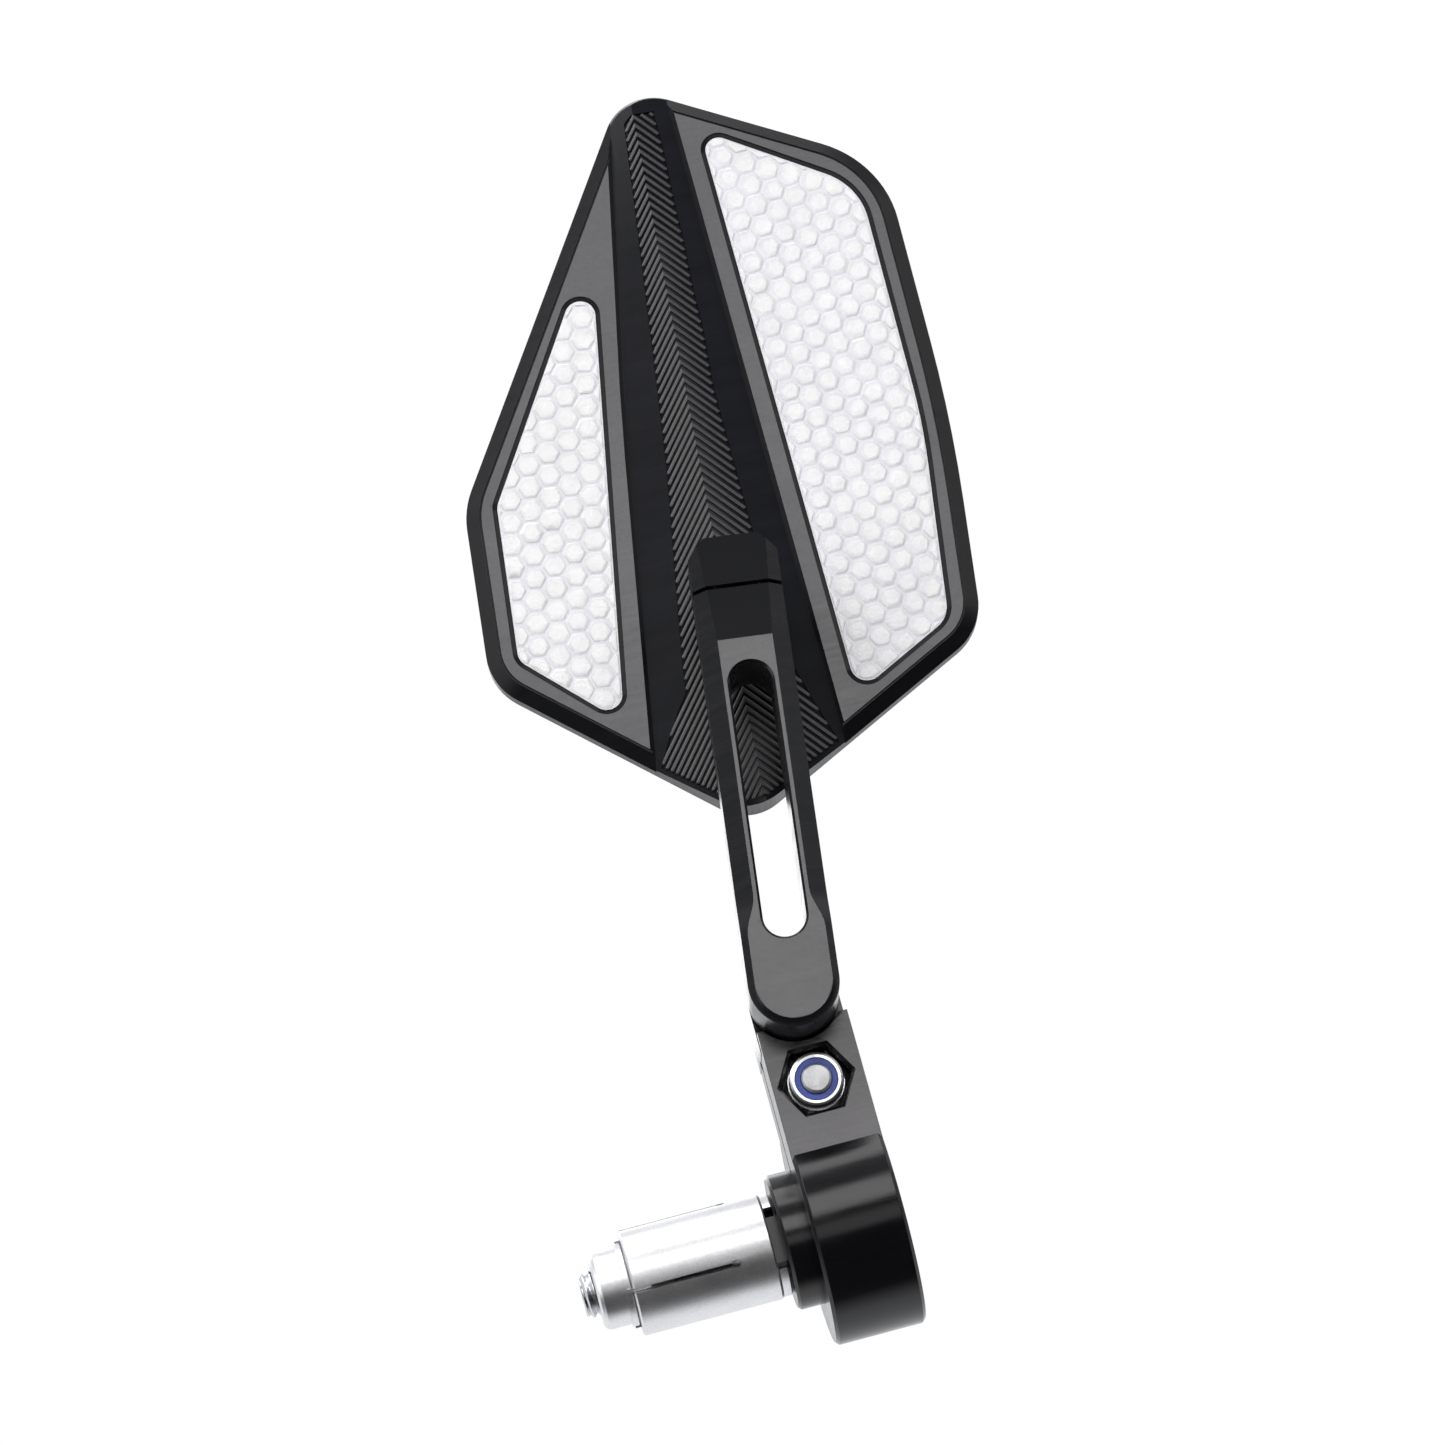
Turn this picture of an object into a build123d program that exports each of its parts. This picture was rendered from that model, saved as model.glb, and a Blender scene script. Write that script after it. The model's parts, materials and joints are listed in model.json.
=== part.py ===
from build123d import *
import os
from math import sin, cos, tan, radians, degrees, atan2, sqrt, pi

os.makedirs("parts", exist_ok=True)

# ---------------------------------------------------------------------------
# Bar-end mirror, left-hand side.  Millimetres.
# X runs along the handlebar axis (the insert points to -X), Z is up along the
# clamp bracket, the reflector side of the head faces -Y, the glass faces +Y.
# Everything is drawn with x = 0 in the collar face that stops against the end
# of the handlebar; the saved parts are moved by DATUM so that the origin is on
# the handlebar axis at the inner end of the sleeve's cylindrical wall.
# ---------------------------------------------------------------------------

# --- bar-end plug and expander ---------------------------------------------
DATUM = 2.2              # collar face to the sleeve wall
COLLAR_R = 11.5          # collar / hub outside radius (23 mm, for a 22 mm bar)
HUB_X1 = 20.1            # outer end of the hub
HUB_LIP_R = 12.6         # lip that keeps the ring on the hub
HUB_LIP_X = 19.0
SLEEVE_R = 9.0           # expansion sleeve outside radius (18 mm)
SLEEVE_X0 = -1.9         # sleeve end next to the collar
SLEEVE_X1 = -26.0        # sleeve end inside the bar
SLEEVE_IR = 6.6          # sleeve bore radius
SLOT_W = 0.8             # expansion slot width
SLOT_ANGLE = 109.0       # one slot points just below the front
SLOT_LEN = 17.6          # expansion slot length
SLOT_HOLE_R = 0.8       # drilled relief at the slot's end
CONE_TIP_R = 6.4
BOLT_R = 4.0             # M8 expander bolt
BOLT_TIP_X = -34.4
NUT_END_X = -32.0        # free end of the cone nut
NUT_END_R = 6.6
NUT_RING_R = 7.1         # thin key ring of the cone nut
BOLT_HEAD_R = 6.5        # M8 socket head
BOLT_SEAT_X = 10.2       # seat of the bolt head inside the hub

# --- clamp bracket ----------------------------------------------------------
BR_X0, BR_X1 = 4.5, 20.0       # bracket width along the bar
RING_R = 18.75                 # ring outside radius
RING_BORE_R = 11.56            # ring bore, running fit on the hub
NECK_Y0, NECK_Y1 = -15.2, 4.2  # front and rear faces of the neck
SHOULDER_Z = 32.6              # top of the two horns
SLIT_Y0, SLIT_Y1 = -4.2, -2.8  # pinch slit
SLIT_Z = 29.0
NUT_Z = 22.5                   # height of the clamp bolt
AXIS_X = 12.0                  # centre plane of bolt and pivot

# --- arm --------------------------------------------------------------------
PIVOT_Z = 37.3
ARM_TILT = 7.23                # rest angle of the arm, towards +X
ARM_HW = 7.6                   # half width
ARM_Y0, ARM_Y1 = -26.1, -12.6  # front and rear faces
ARM_BEVEL = 2.95               # long front bevels
ARM_EDGE = 1.15                # bevel round the lower end
SLOT_HW = 3.6                  # lightening slot half width
SLOT_W0, SLOT_W1 = 7.4, 55.1   # lightening slot ends along the arm
FACET_W = 59.4                 # start of the sloping top facet
FACET_DROP = 1.3               # how far the facet falls back at the cap's top
GAP_W0, GAP_W1 = 68.6, 69.3    # clamp split between arm and cap
CAP_TOP = 78.0
CAP_CUT = 3.0                  # cap top corner bevels
SHOULDER_R = 8.0               # concave shoulder round the arm's lower end
TONGUE_Y0 = -12.1              # tongue front face
TONGUE_R = 7.6

# --- ball joint -------------------------------------------------------------
BALL_R = 4.5
BALL_W = (GAP_W0 + GAP_W1) / 2
BALL_Y = -15.1
LINER_IR, LINER_OR = 4.55, 5.25
SOCKET_R = 5.30
NECK_R = 2.2

# --- mirror head --------------------------------------------------------------
PLATE_Y = -5.7           # the two flat plates that carry the reflectors
EDGE_Y = -4.2            # outer edge of the chamfered band
WALL_Y = -1.5            # front end of the side wall
FRONT_Y = -1.0           # front plane of the rim
BAND = 2.3               # width of the chamfered band
VALLEY_Y = -5.0          # foot of the central ridge
FLOOR_Y = -3.6           # tray floor behind the glass
RIM = 1.5                # rim width round the glass
OUTLINE = [((26.71, 207.53), 8.7), ((67.62, 181.79), 19.8), ((66.31, 131.96), 280.0),
           ((61.19, 93.64), 10.8), ((13.81, 70.73), 8.5), ((-23.30, 105.51), 10.6),
           ((-19.93, 137.68), 15.6)]
WIN_RIGHT = [((37.5, 195.7), 2.5), ((62.35, 177.95), 12.0), ((61.25, 132.0), 120.0),
             ((55.98, 96.66), 5.0), ((37.05, 87.45), 3.0)]
WIN_LEFT = [((13.86, 180.5), 2.8), ((-2.72, 92.62), 2.8), ((-17.68, 108.29), 3.2),
            ((-14.44, 136.4), 4.0)]
CHANNEL_L = [(25.56, 215.0), (12.36, 151.39), (10.10, 139.18), (-3.69, 60.0)]
CHANNEL_R = [(33.46, 215.0), (32.73, 60.0)]
APEX_TOP = (28.06, -6.15, 215.0)
APEX_BOT = (15.61, -8.42, 60.0)
POCKET = 0.9             # reflector pocket depth
LEDGE = 0.7              # shallow step round each reflector
LEDGE_D = 0.3
FILM_T = 0.45            # reflector film thickness
BACK_T = 0.2             # its adhesive


# --- helpers -------------------------------------------------------------------
def xz(pt, y=0.0):
    return Vector(pt[0], y, pt[1])


def rounded(verts):
    """Closed XZ face from vertices with their own corner radii."""
    n = len(verts)
    edges = []
    ends = []
    for i in range(n):
        (p, r) = verts[i]
        a = verts[i - 1][0]
        b = verts[(i + 1) % n][0]
        ax, az = a[0] - p[0], a[1] - p[1]
        bx, bz = b[0] - p[0], b[1] - p[1]
        la, lb = sqrt(ax * ax + az * az), sqrt(bx * bx + bz * bz)
        ax, az, bx, bz = ax / la, az / la, bx / lb, bz / lb
        c = ax * bx + az * bz
        half = acos_(c) / 2
        t = r / tan(half)
        h = r / sin(half)
        mx, mz = ax + bx, az + bz
        lm = sqrt(mx * mx + mz * mz)
        mx, mz = mx / lm, mz / lm
        cx, cz = p[0] + mx * h, p[1] + mz * h
        p1 = (p[0] + ax * t, p[1] + az * t)
        p2 = (p[0] + bx * t, p[1] + bz * t)
        m = (cx - mx * r, cz - mz * r)
        ends.append((p1, m, p2))
    for i in range(n):
        p1, m, p2 = ends[i]
        edges.append(ThreePointArc(xz(p1), xz(m), xz(p2)))
        nxt = ends[(i + 1) % n][0]
        if sqrt((nxt[0] - p2[0]) ** 2 + (nxt[1] - p2[1]) ** 2) > 1e-4:
            edges.append(Line(xz(p2), xz(nxt)))
    return Face(Wire(edges))


def acos_(c):
    return atan2(sqrt(max(0.0, 1 - c * c)), c)


def prism(face, y0, y1):
    """Extrude an XZ face (drawn at y = 0) from y0 to y1."""
    return extrude(Pos(0, y0, 0) * face, amount=y1 - y0, dir=(0, 1, 0))


def inset(face, d):
    """The face moved in by d (out when d is negative)."""
    w = face.outer_wire().offset_2d(-d)
    return Face(w)


def poly(points):
    return Face(Wire([Line(xz(points[i]), xz(points[(i + 1) % len(points)])) for i in range(len(points))]))


def ycyl(x, z, r, y0, y1):
    return Pos(x, (y0 + y1) / 2, z) * Rot(90, 0, 0) * Cylinder(r, y1 - y0)


def xcyl(r, x0, x1, y=0.0, z=0.0):
    return Pos((x0 + x1) / 2, y, z) * Rot(0, 90, 0) * Cylinder(r, x1 - x0)


def box(x0, x1, y0, y1, z0, z1):
    return Pos((x0 + x1) / 2, (y0 + y1) / 2, (z0 + z1) / 2) * Box(x1 - x0, y1 - y0, z1 - z0)


def revolve_x(pts):
    """Solid of revolution about the X axis from (x, r) points."""
    w = [Line(Vector(pts[i][0], pts[i][1], 0), Vector(pts[(i + 1) % len(pts)][0], pts[(i + 1) % len(pts)][1], 0))
         for i in range(len(pts))]
    return revolve(Face(Wire(w)), axis=Axis.X, revolution_arc=360)


def revolve_y(pts, x, z):
    """Solid of revolution about an axis along Y through (x, z), from (r, y) points."""
    w = [Line(Vector(pts[i][0], pts[i][1], 0), Vector(pts[(i + 1) % len(pts)][0], pts[(i + 1) % len(pts)][1], 0))
         for i in range(len(pts))]
    return Pos(x, 0, z) * revolve(Face(Wire(w)), axis=Axis.Y, revolution_arc=360)


def hexagon_y(af, x, z, y0, y1, rot=0.0):
    r = af / sqrt(3)
    pts = [(x + r * cos(radians(60 * k + rot)), z + r * sin(radians(60 * k + rot))) for k in range(6)]
    return prism(poly(pts), y0, y1)


def hexagon_x(af, x0, x1):
    r = af / sqrt(3)
    pts = [Vector(x0, r * cos(radians(60 * k)), r * sin(radians(60 * k))) for k in range(6)]
    f = Face(Wire([Line(pts[i], pts[(i + 1) % 6]) for i in range(6)]))
    return extrude(f, amount=x1 - x0, dir=(1, 0, 0))


def solid(shape):
    s = shape.solids()
    return s[0] if len(s) == 1 else Compound(children=list(s))


def save(shape, name):
    export_step(solid(Pos(DATUM, 0, 0) * shape), "parts/%s.step" % name)
    return shape


# arm frame: origin at the pivot, local Z along the arm
ARM = Pos(AXIS_X, 0, PIVOT_Z) * Rot(0, ARM_TILT, 0)


def arm_box(u0, u1, y0, y1, w0, w1):
    return ARM * box(u0, u1, y0, y1, w0, w1)


def arm_pt(u, w):
    a = radians(ARM_TILT)
    return (AXIS_X + u * cos(a) + w * sin(a), PIVOT_Z - u * sin(a) + w * cos(a))


BALL_X, BALL_Z = arm_pt(0.0, BALL_W)

# ---------------------------------------------------------------------------
# 1. Bar-end plug: hub, outer cone, expansion sleeve
# ---------------------------------------------------------------------------
hub = revolve_x([(0.0, 0), (0.0, COLLAR_R - 0.5), (0.5, COLLAR_R), (HUB_LIP_X, COLLAR_R),
                 (HUB_LIP_X, HUB_LIP_R), (HUB_X1 - 0.3, HUB_LIP_R), (HUB_X1, HUB_LIP_R - 0.3), (HUB_X1, 0)])
tenon = box(-1.8, 0.2, -5.2, 5.2, -5.2, 5.2) & xcyl(6.5, -1.8, 0.2)
hub = hub + tenon
hub = hub - xcyl(BOLT_R + 0.06, -3, HUB_X1 + 3) - xcyl(BOLT_HEAD_R + 0.4, BOLT_SEAT_X, HUB_X1 + 3)
save(hub, "bar_end_hub")

# outer cone: keyed over the hub's tenon by two ears, tapers into the sleeve
outer_cone = revolve_x([(-0.15, BOLT_R + 0.06), (-0.15, 8.3), (-0.5, 8.7), (-1.8, 8.7), (-1.8, 6.5), (-9.0, 5.3), (-9.0, BOLT_R + 0.06)])
outer_cone = outer_cone - box(-1.85, 0.5, -20, 20, -5.25, 5.25)
save(outer_cone, "outer_cone")

sleeve = revolve_x([(SLEEVE_X0 - 0.4, SLEEVE_IR), (SLEEVE_X0, SLEEVE_IR + 0.4), (SLEEVE_X0, SLEEVE_R - 0.3), (SLEEVE_X0 - 0.3, SLEEVE_R),
                    (SLEEVE_X1 + 0.3, SLEEVE_R), (SLEEVE_X1, SLEEVE_R - 0.3), (SLEEVE_X1, SLEEVE_IR + 0.4),
                    (SLEEVE_X1 + 0.4, SLEEVE_IR)])
sleeve = Rot(SLOT_ANGLE - 90 - 45, 0, 0) * sleeve
slots = None
for k in range(4):
    s = box(SLEEVE_X1 - 1, SLEEVE_X1 + SLOT_LEN, -SLOT_W / 2, SLOT_W / 2, 0, 12)
    s = s + Pos(SLEEVE_X1 + SLOT_LEN, 0, 6) * Cylinder(SLOT_HOLE_R, 12)
    s = Rot(90 * k + SLOT_ANGLE, 0, 0) * s
    slots = s if slots is None else slots + s
sleeve = sleeve - slots
save(sleeve, "expansion_sleeve")

# ---------------------------------------------------------------------------
# 2. Expander bolt and its washer; cone nut
# ---------------------------------------------------------------------------
bolt = revolve_x([(BOLT_TIP_X, 0), (BOLT_TIP_X, BOLT_R - 0.7), (BOLT_TIP_X + 0.7, BOLT_R), (BOLT_SEAT_X + 1.7, BOLT_R),
                  (BOLT_SEAT_X + 1.7, BOLT_HEAD_R), (BOLT_SEAT_X + 9.2, BOLT_HEAD_R), (BOLT_SEAT_X + 9.7, BOLT_HEAD_R - 0.5),
                  (BOLT_SEAT_X + 9.7, 0)])
bolt = bolt - hexagon_x(6.0, BOLT_SEAT_X + 5.7, BOLT_SEAT_X + 11)
save(bolt, "expander_bolt")
bolt_washer = revolve_x([(BOLT_SEAT_X + 0.05, BOLT_R + 0.03), (BOLT_SEAT_X + 0.05, 6.7), (BOLT_SEAT_X + 1.7, 6.7), (BOLT_SEAT_X + 1.7, BOLT_R + 0.03)])
save(bolt_washer, "expander_bolt_washer")

cone_nut = revolve_x([(NUT_END_X, BOLT_R + 0.06), (NUT_END_X, NUT_END_R - 0.9), (NUT_END_X + 0.35, NUT_END_R - 0.35), (NUT_END_X + 0.9, NUT_END_R),
                      (SLEEVE_X1 - 1.3, NUT_END_R), (SLEEVE_X1 - 1.3, NUT_RING_R), (SLEEVE_X1 - 0.35, NUT_RING_R),
                      (SLEEVE_X1 - 0.1, NUT_RING_R - 0.25), (SLEEVE_X1 - 0.1, 6.55), (SLEEVE_X1 + 7.0, 5.2), (SLEEVE_X1 + 7.0, BOLT_R + 0.06)])
keys = None
for k in range(4):
    kk = Rot(90 * k + SLOT_ANGLE, 0, 0) * box(SLEEVE_X1 - 1.0, SLEEVE_X1 + 3.0, -0.32, 0.32, 5.0, 7.5)
    keys = kk if keys is None else keys + kk
cone_nut = cone_nut + keys
save(cone_nut, "cone_nut")

# ---------------------------------------------------------------------------
# 3. Clamp bracket: ring, pinched neck, shoulder, tongue
# ---------------------------------------------------------------------------
ring = xcyl(RING_R, BR_X0, BR_X1)
neck = box(BR_X0, BR_X1, NECK_Y0, NECK_Y1, 0, SHOULDER_Z)
tongue = box(BR_X0 + 0.05, BR_X1 - 0.05, TONGUE_Y0, NECK_Y1, 20, PIVOT_Z)
tongue = tongue & box(AXIS_X - 7.6 - 0.4, AXIS_X + 8.0, -30, 30, 0, 80)
tongue_top = ycyl(AXIS_X, PIVOT_Z, TONGUE_R, TONGUE_Y0, NECK_Y1)
body = ring + neck
body = body - ycyl(AXIS_X, PIVOT_Z, SHOULDER_R, -40, TONGUE_Y0)
body = body + box(AXIS_X - TONGUE_R, AXIS_X + TONGUE_R, TONGUE_Y0, NECK_Y1, SHOULDER_Z - 3, PIVOT_Z) + tongue_top
# long edges of the flat neck and the ring rims are lightly broken
ring_edges = [e for e in body.edges().filter_by(GeomType.CIRCLE)
              if abs(e.radius - RING_R) < 0.01 and e.length > 20 and abs(e.arc_center.Z) < 0.01 and abs(e.arc_center.Y) < 0.01]
try:
    body = chamfer(ring_edges, 0.6)
except Exception as err:
    print("ring chamfer skipped", err)
body = body - xcyl(RING_BORE_R, BR_X0 - 1, BR_X1 + 1) - xcyl(HUB_LIP_R + 0.08, HUB_LIP_X - 0.08, BR_X1 + 1)
body = body - box(BR_X0 - 1, BR_X1 + 1, SLIT_Y0, SLIT_Y1, 4, SLIT_Z)
body = body - xcyl(1.25, BR_X0 - 1, BR_X1 + 1, (SLIT_Y0 + SLIT_Y1) / 2, SLIT_Z)
# clamp bolt hole, nut pocket at the front, counterbore at the rear
body = body - ycyl(AXIS_X, NUT_Z, 3.2, -30, 30)
body = body - hexagon_y(10.5, AXIS_X, NUT_Z, NECK_Y0 + 6.1 - 20, NECK_Y0 + 6.1)
taper_hex = loft([Pos(0, NECK_Y0 + 0.55, 0) * poly([(AXIS_X + 10.5 / sqrt(3) * cos(radians(60 * k)), NUT_Z + 10.5 / sqrt(3) * sin(radians(60 * k))) for k in range(6)]),
                  Pos(0, NECK_Y0 - 0.01, 0) * poly([(AXIS_X + 11.6 / sqrt(3) * cos(radians(60 * k)), NUT_Z + 11.6 / sqrt(3) * sin(radians(60 * k))) for k in range(6)])])
body = body - taper_hex
body = body - ycyl(AXIS_X, NUT_Z, 5.8, -0.4, 30)
# pivot hole and counterbore
body = body - ycyl(AXIS_X, PIVOT_Z, 3.06, -30, 30) - ycyl(AXIS_X, PIVOT_Z, 5.5, -3.8, 30)
save(body, "clamp_bracket")

clamp_bolt = revolve_y([(0, -16.05), (2.15, -16.05), (2.5, -15.7), (2.5, -15.0), (3.0, -14.5), (3.0, 0.4), (5.0, 0.4), (5.0, 4.0), (4.6, 4.4), (0, 4.4)], AXIS_X, NUT_Z)
clamp_bolt = clamp_bolt - hexagon_y(4.0, AXIS_X, NUT_Z, 2.2, 6)
save(clamp_bolt, "clamp_bolt")
clamp_washer = ycyl(AXIS_X, NUT_Z, 5.5, -0.4, 0.4) - ycyl(AXIS_X, NUT_Z, 3.0, -1, 1)
save(clamp_washer, "clamp_bolt_washer")
lock_nut = (hexagon_y(10.0, AXIS_X, NUT_Z, -12.2, -9.1) & revolve_y([(0, -12.2), (4.75, -12.2), (5.9, -11.6), (5.9, -9.0), (0, -9.0)], AXIS_X, NUT_Z))
lock_nut = lock_nut + revolve_y([(0, -12.1), (4.6, -12.1), (4.6, -14.7), (4.45, -15.05), (4.1, -15.2), (0, -15.2)], AXIS_X, NUT_Z)
lock_nut = lock_nut - ycyl(AXIS_X, NUT_Z, 3.02, -20, 0) - ycyl(AXIS_X, NUT_Z, 3.66, -20, -13.4)
save(lock_nut, "lock_nut")
nylon = revolve_y([(2.56, -15.02), (2.7, -15.14), (3.5, -15.14), (3.65, -14.98), (3.65, -13.4), (3.02, -13.4), (3.02, -14.56)], AXIS_X, NUT_Z)
save(nylon, "lock_nut_nylon_ring")

# ---------------------------------------------------------------------------
# 4. Arm, pivot hardware, ball clamp cap and its screws
# ---------------------------------------------------------------------------
T_ARM = ARM_Y1 - ARM_Y0
arm_full = box(-ARM_HW, ARM_HW, ARM_Y0, ARM_Y1, 0, CAP_TOP) + ycyl(0, 0, ARM_HW, ARM_Y0, ARM_Y1)
# bevel round the lower end
end_env = revolve_y([(0, ARM_Y0), (ARM_HW - ARM_EDGE, ARM_Y0), (ARM_HW, ARM_Y0 + ARM_EDGE), (ARM_HW, ARM_Y1 - 0.3), (ARM_HW - 0.3, ARM_Y1), (0, ARM_Y1)], 0, 0)
prof = [(-ARM_HW, ARM_Y0 + ARM_EDGE), (-ARM_HW + ARM_EDGE, ARM_Y0), (ARM_HW - ARM_EDGE, ARM_Y0), (ARM_HW, ARM_Y0 + ARM_EDGE),
        (ARM_HW, ARM_Y1 - 0.3), (ARM_HW - 0.3, ARM_Y1), (-ARM_HW + 0.3, ARM_Y1), (-ARM_HW, ARM_Y1 - 0.3)]
shank_face = Face(Wire([Line(Vector(prof[i][0], prof[i][1], 0), Vector(prof[(i + 1) % 8][0], prof[(i + 1) % 8][1], 0)) for i in range(8)]))
blank = end_env + extrude(shank_face, amount=CAP_TOP, dir=(0, 0, 1))
# long bevels; they grow in a smooth S above the rounded end
BEVEL_W0, BEVEL_W1 = 8.4, 15.0
steps = 6


def bevel_section(sgn, d, w):
    """Right-triangle section of the corner cut of size d, drawn a little outside the arm."""
    o = 1.0
    p = [(sgn * (ARM_HW - d - o), ARM_Y0 - o), (sgn * (ARM_HW + o), ARM_Y0 - o), (sgn * (ARM_HW + o), ARM_Y0 + d + o)]
    return Face(Wire([Line(Vector(p[i][0], p[i][1], w), Vector(p[(i + 1) % 3][0], p[(i + 1) % 3][1], w)) for i in range(3)]))


for sgn in (-1, 1):
    blank = blank - extrude(bevel_section(sgn, ARM_BEVEL, BEVEL_W1), amount=90, dir=(0, 0, 1))
    for k in range(steps):
        t0, t1 = k / steps, (k + 1) / steps
        d0 = ARM_EDGE + (ARM_BEVEL - ARM_EDGE) * (3 * t0 ** 2 - 2 * t0 ** 3)
        d1 = ARM_EDGE + (ARM_BEVEL - ARM_EDGE) * (3 * t1 ** 2 - 2 * t1 ** 3)
        w0, w1 = BEVEL_W0 + (BEVEL_W1 - BEVEL_W0) * t0, BEVEL_W0 + (BEVEL_W1 - BEVEL_W0) * t1
        blank = blank - loft([bevel_section(sgn, d0, w0), bevel_section(sgn, d1, w1)], ruled=True)
# sloping facet at the top
slope = atan2(FACET_DROP, CAP_TOP - FACET_W)
cutter = Pos(0, ARM_Y0, FACET_W) * Rot(degrees(-slope), 0, 0) * Pos(0, -10, 30) * Box(40, 20, 60)
blank = blank - cutter
# cap top corners
for sgn in (-1, 1):
    tri = [(sgn * (ARM_HW - CAP_CUT), CAP_TOP), (sgn * (ARM_HW + 1), CAP_TOP), (sgn * (ARM_HW + 1), CAP_TOP - CAP_CUT - 1)]
    tri = [(sgn * (ARM_HW - CAP_CUT - 1), CAP_TOP + 1), (sgn * (ARM_HW + 1), CAP_TOP + 1), (sgn * (ARM_HW + 1), CAP_TOP - CAP_CUT - 1)]
    blank = blank - prism(poly(tri), -40, 0)
socket = Pos(0, BALL_Y, BALL_W) * Sphere(SOCKET_R)
arm = blank & box(-20, 20, -40, 0, -20, GAP_W0)
cap = blank & box(-20, 20, -40, 0, GAP_W1, 100)
slot_face = rounded([((-SLOT_HW, SLOT_W0), SLOT_HW - 0.001), ((SLOT_HW, SLOT_W0), SLOT_HW - 0.001), ((SLOT_HW, SLOT_W1), SLOT_HW - 0.001), ((-SLOT_HW, SLOT_W1), SLOT_HW - 0.001)])
arm = arm - prism(slot_face, -40, 0) - socket
slot_rim = loft([Pos(0, ARM_Y0 - 0.02, 0) * inset(slot_face, -0.42), Pos(0, ARM_Y0 + 0.38, 0) * inset(slot_face, -0.02)], ruled=True)
arm = arm - slot_rim
cap = cap - socket
arm = arm - ycyl(0, 0, 3.02, -22.0, 0)
SCREW_U, SCREW_Y = 2.7, -21.9
screws = None
for sgn in (-1, 1):
    p = Pos(sgn * SCREW_U, SCREW_Y, 0)
    arm = arm - p * Pos(0, 0, (60.5 + 80) / 2) * Cylinder(1.25, 19.5)
    cap = cap - p * Pos(0, 0, 80) * Cylinder(1.4, 40) - p * Pos(0, 0, CAP_TOP - 2.7 + 10) * Cylinder(2.35, 20)
    sc = p * Pos(0, 0, (61.3 + CAP_TOP - 2.7) / 2) * Cylinder(1.25, CAP_TOP - 2.7 - 61.3) + p * Pos(0, 0, CAP_TOP - 2.7 + 1.25) * Cylinder(2.25, 2.5)
    sc = sc - p * Pos(0, 0, CAP_TOP - 2.7 + 2.5) * extrude(RegularPolygon(1.15, 6), amount=1.4, both=True)
    screws = sc if screws is None else screws + sc
save(ARM * arm, "arm")
save(ARM * cap, "ball_clamp_cap")
save(ARM * screws, "cap_screws")

pivot_bolt = revolve_y([(0, -21.5), (2.5, -21.5), (3.0, -21.0), (3.0, -3.3), (5.0, -3.3), (5.0, 2.2), (4.5, 2.7), (0, 2.7)], AXIS_X, PIVOT_Z)
pivot_bolt = pivot_bolt - hexagon_y(5.0, AXIS_X, PIVOT_Z, -0.3, 5)
save(pivot_bolt, "pivot_bolt")
wave = ycyl(AXIS_X, PIVOT_Z, 5.3, -3.75, -3.3) - ycyl(AXIS_X, PIVOT_Z, 3.0, -5, 0)
save(wave, "pivot_spring_washer")
fric = ycyl(AXIS_X, PIVOT_Z, 6.6, -12.6, -12.15) - ycyl(AXIS_X, PIVOT_Z, 3.0, -14, -11)
save(fric, "pivot_friction_washer")

# ---------------------------------------------------------------------------
# 5. Ball joint: liner, ball stud, stud screw
# ---------------------------------------------------------------------------
ball_c = Pos(BALL_X, BALL_Y, BALL_Z)
liner = ball_c * Sphere(LINER_OR) - ball_c * Sphere(LINER_IR) - ycyl(BALL_X, BALL_Z, 8, BALL_Y + 2.3, BALL_Y + 9)
save(liner, "ball_liner")
SEAT_Y = -7.0
stud = ball_c * Sphere(BALL_R) + revolve_y([(0, BALL_Y), (NECK_R, BALL_Y), (NECK_R, -9.4), (NECK_R + 0.5, -8.9), (4.3, -8.9), (4.3, SEAT_Y - 0.05), (NECK_R, SEAT_Y - 0.05), (NECK_R, -5.4), (0, -5.4)], BALL_X, BALL_Z)
stud = stud - ycyl(BALL_X, BALL_Z, 1.5, -12.0, 0)
save(stud, "ball_stud")
stud_screw = revolve_y([(0, -11.8), (1.5, -11.8), (1.5, -5.4), (3.0, -5.4), (3.0, -4.0), (2.7, -3.7), (0, -3.7)], BALL_X, BALL_Z)
stud_screw = stud_screw - hexagon_y(2.5, BALL_X, BALL_Z, -4.9, 0)
save(stud_screw, "stud_screw")

# ---------------------------------------------------------------------------
# 6. Head: shell, reflectors and their adhesive, glass pad, glass
# ---------------------------------------------------------------------------
outline = rounded(OUTLINE)


def tapered(face, y0, y1, ins):
    """Prism from y0 to y1 (y1 < y0) whose walls lean in by ins."""
    top = inset(face, ins)
    return loft([Pos(0, y0, 0) * face, Pos(0, y1, 0) * top], ruled=True)


shell = prism(outline, EDGE_Y, WALL_Y) + tapered(outline, EDGE_Y, PLATE_Y, BAND)
shell = shell + loft([Pos(0, WALL_Y, 0) * outline, Pos(0, FRONT_Y, 0) * inset(outline, 0.5)], ruled=True)
channel = poly(CHANNEL_L + list(reversed(CHANNEL_R)))
groove_out, groove_in = inset(outline, BAND + 0.05), inset(outline, BAND + 0.40)
shell = shell - (prism(groove_out, PLATE_Y - 1, PLATE_Y + 0.3) - prism(groove_in, PLATE_Y - 2, PLATE_Y + 1))
shell = shell - extrude(Pos(0, VALLEY_Y, 0) * channel, amount=3.0, dir=(0, -1, 0), taper=-45)


def at(line, z):
    for (x1, z1), (x2, z2) in zip(line, line[1:]):
        if min(z1, z2) <= z <= max(z1, z2):
            return x1 + (x2 - x1) * (z - z1) / (z2 - z1)


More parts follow.
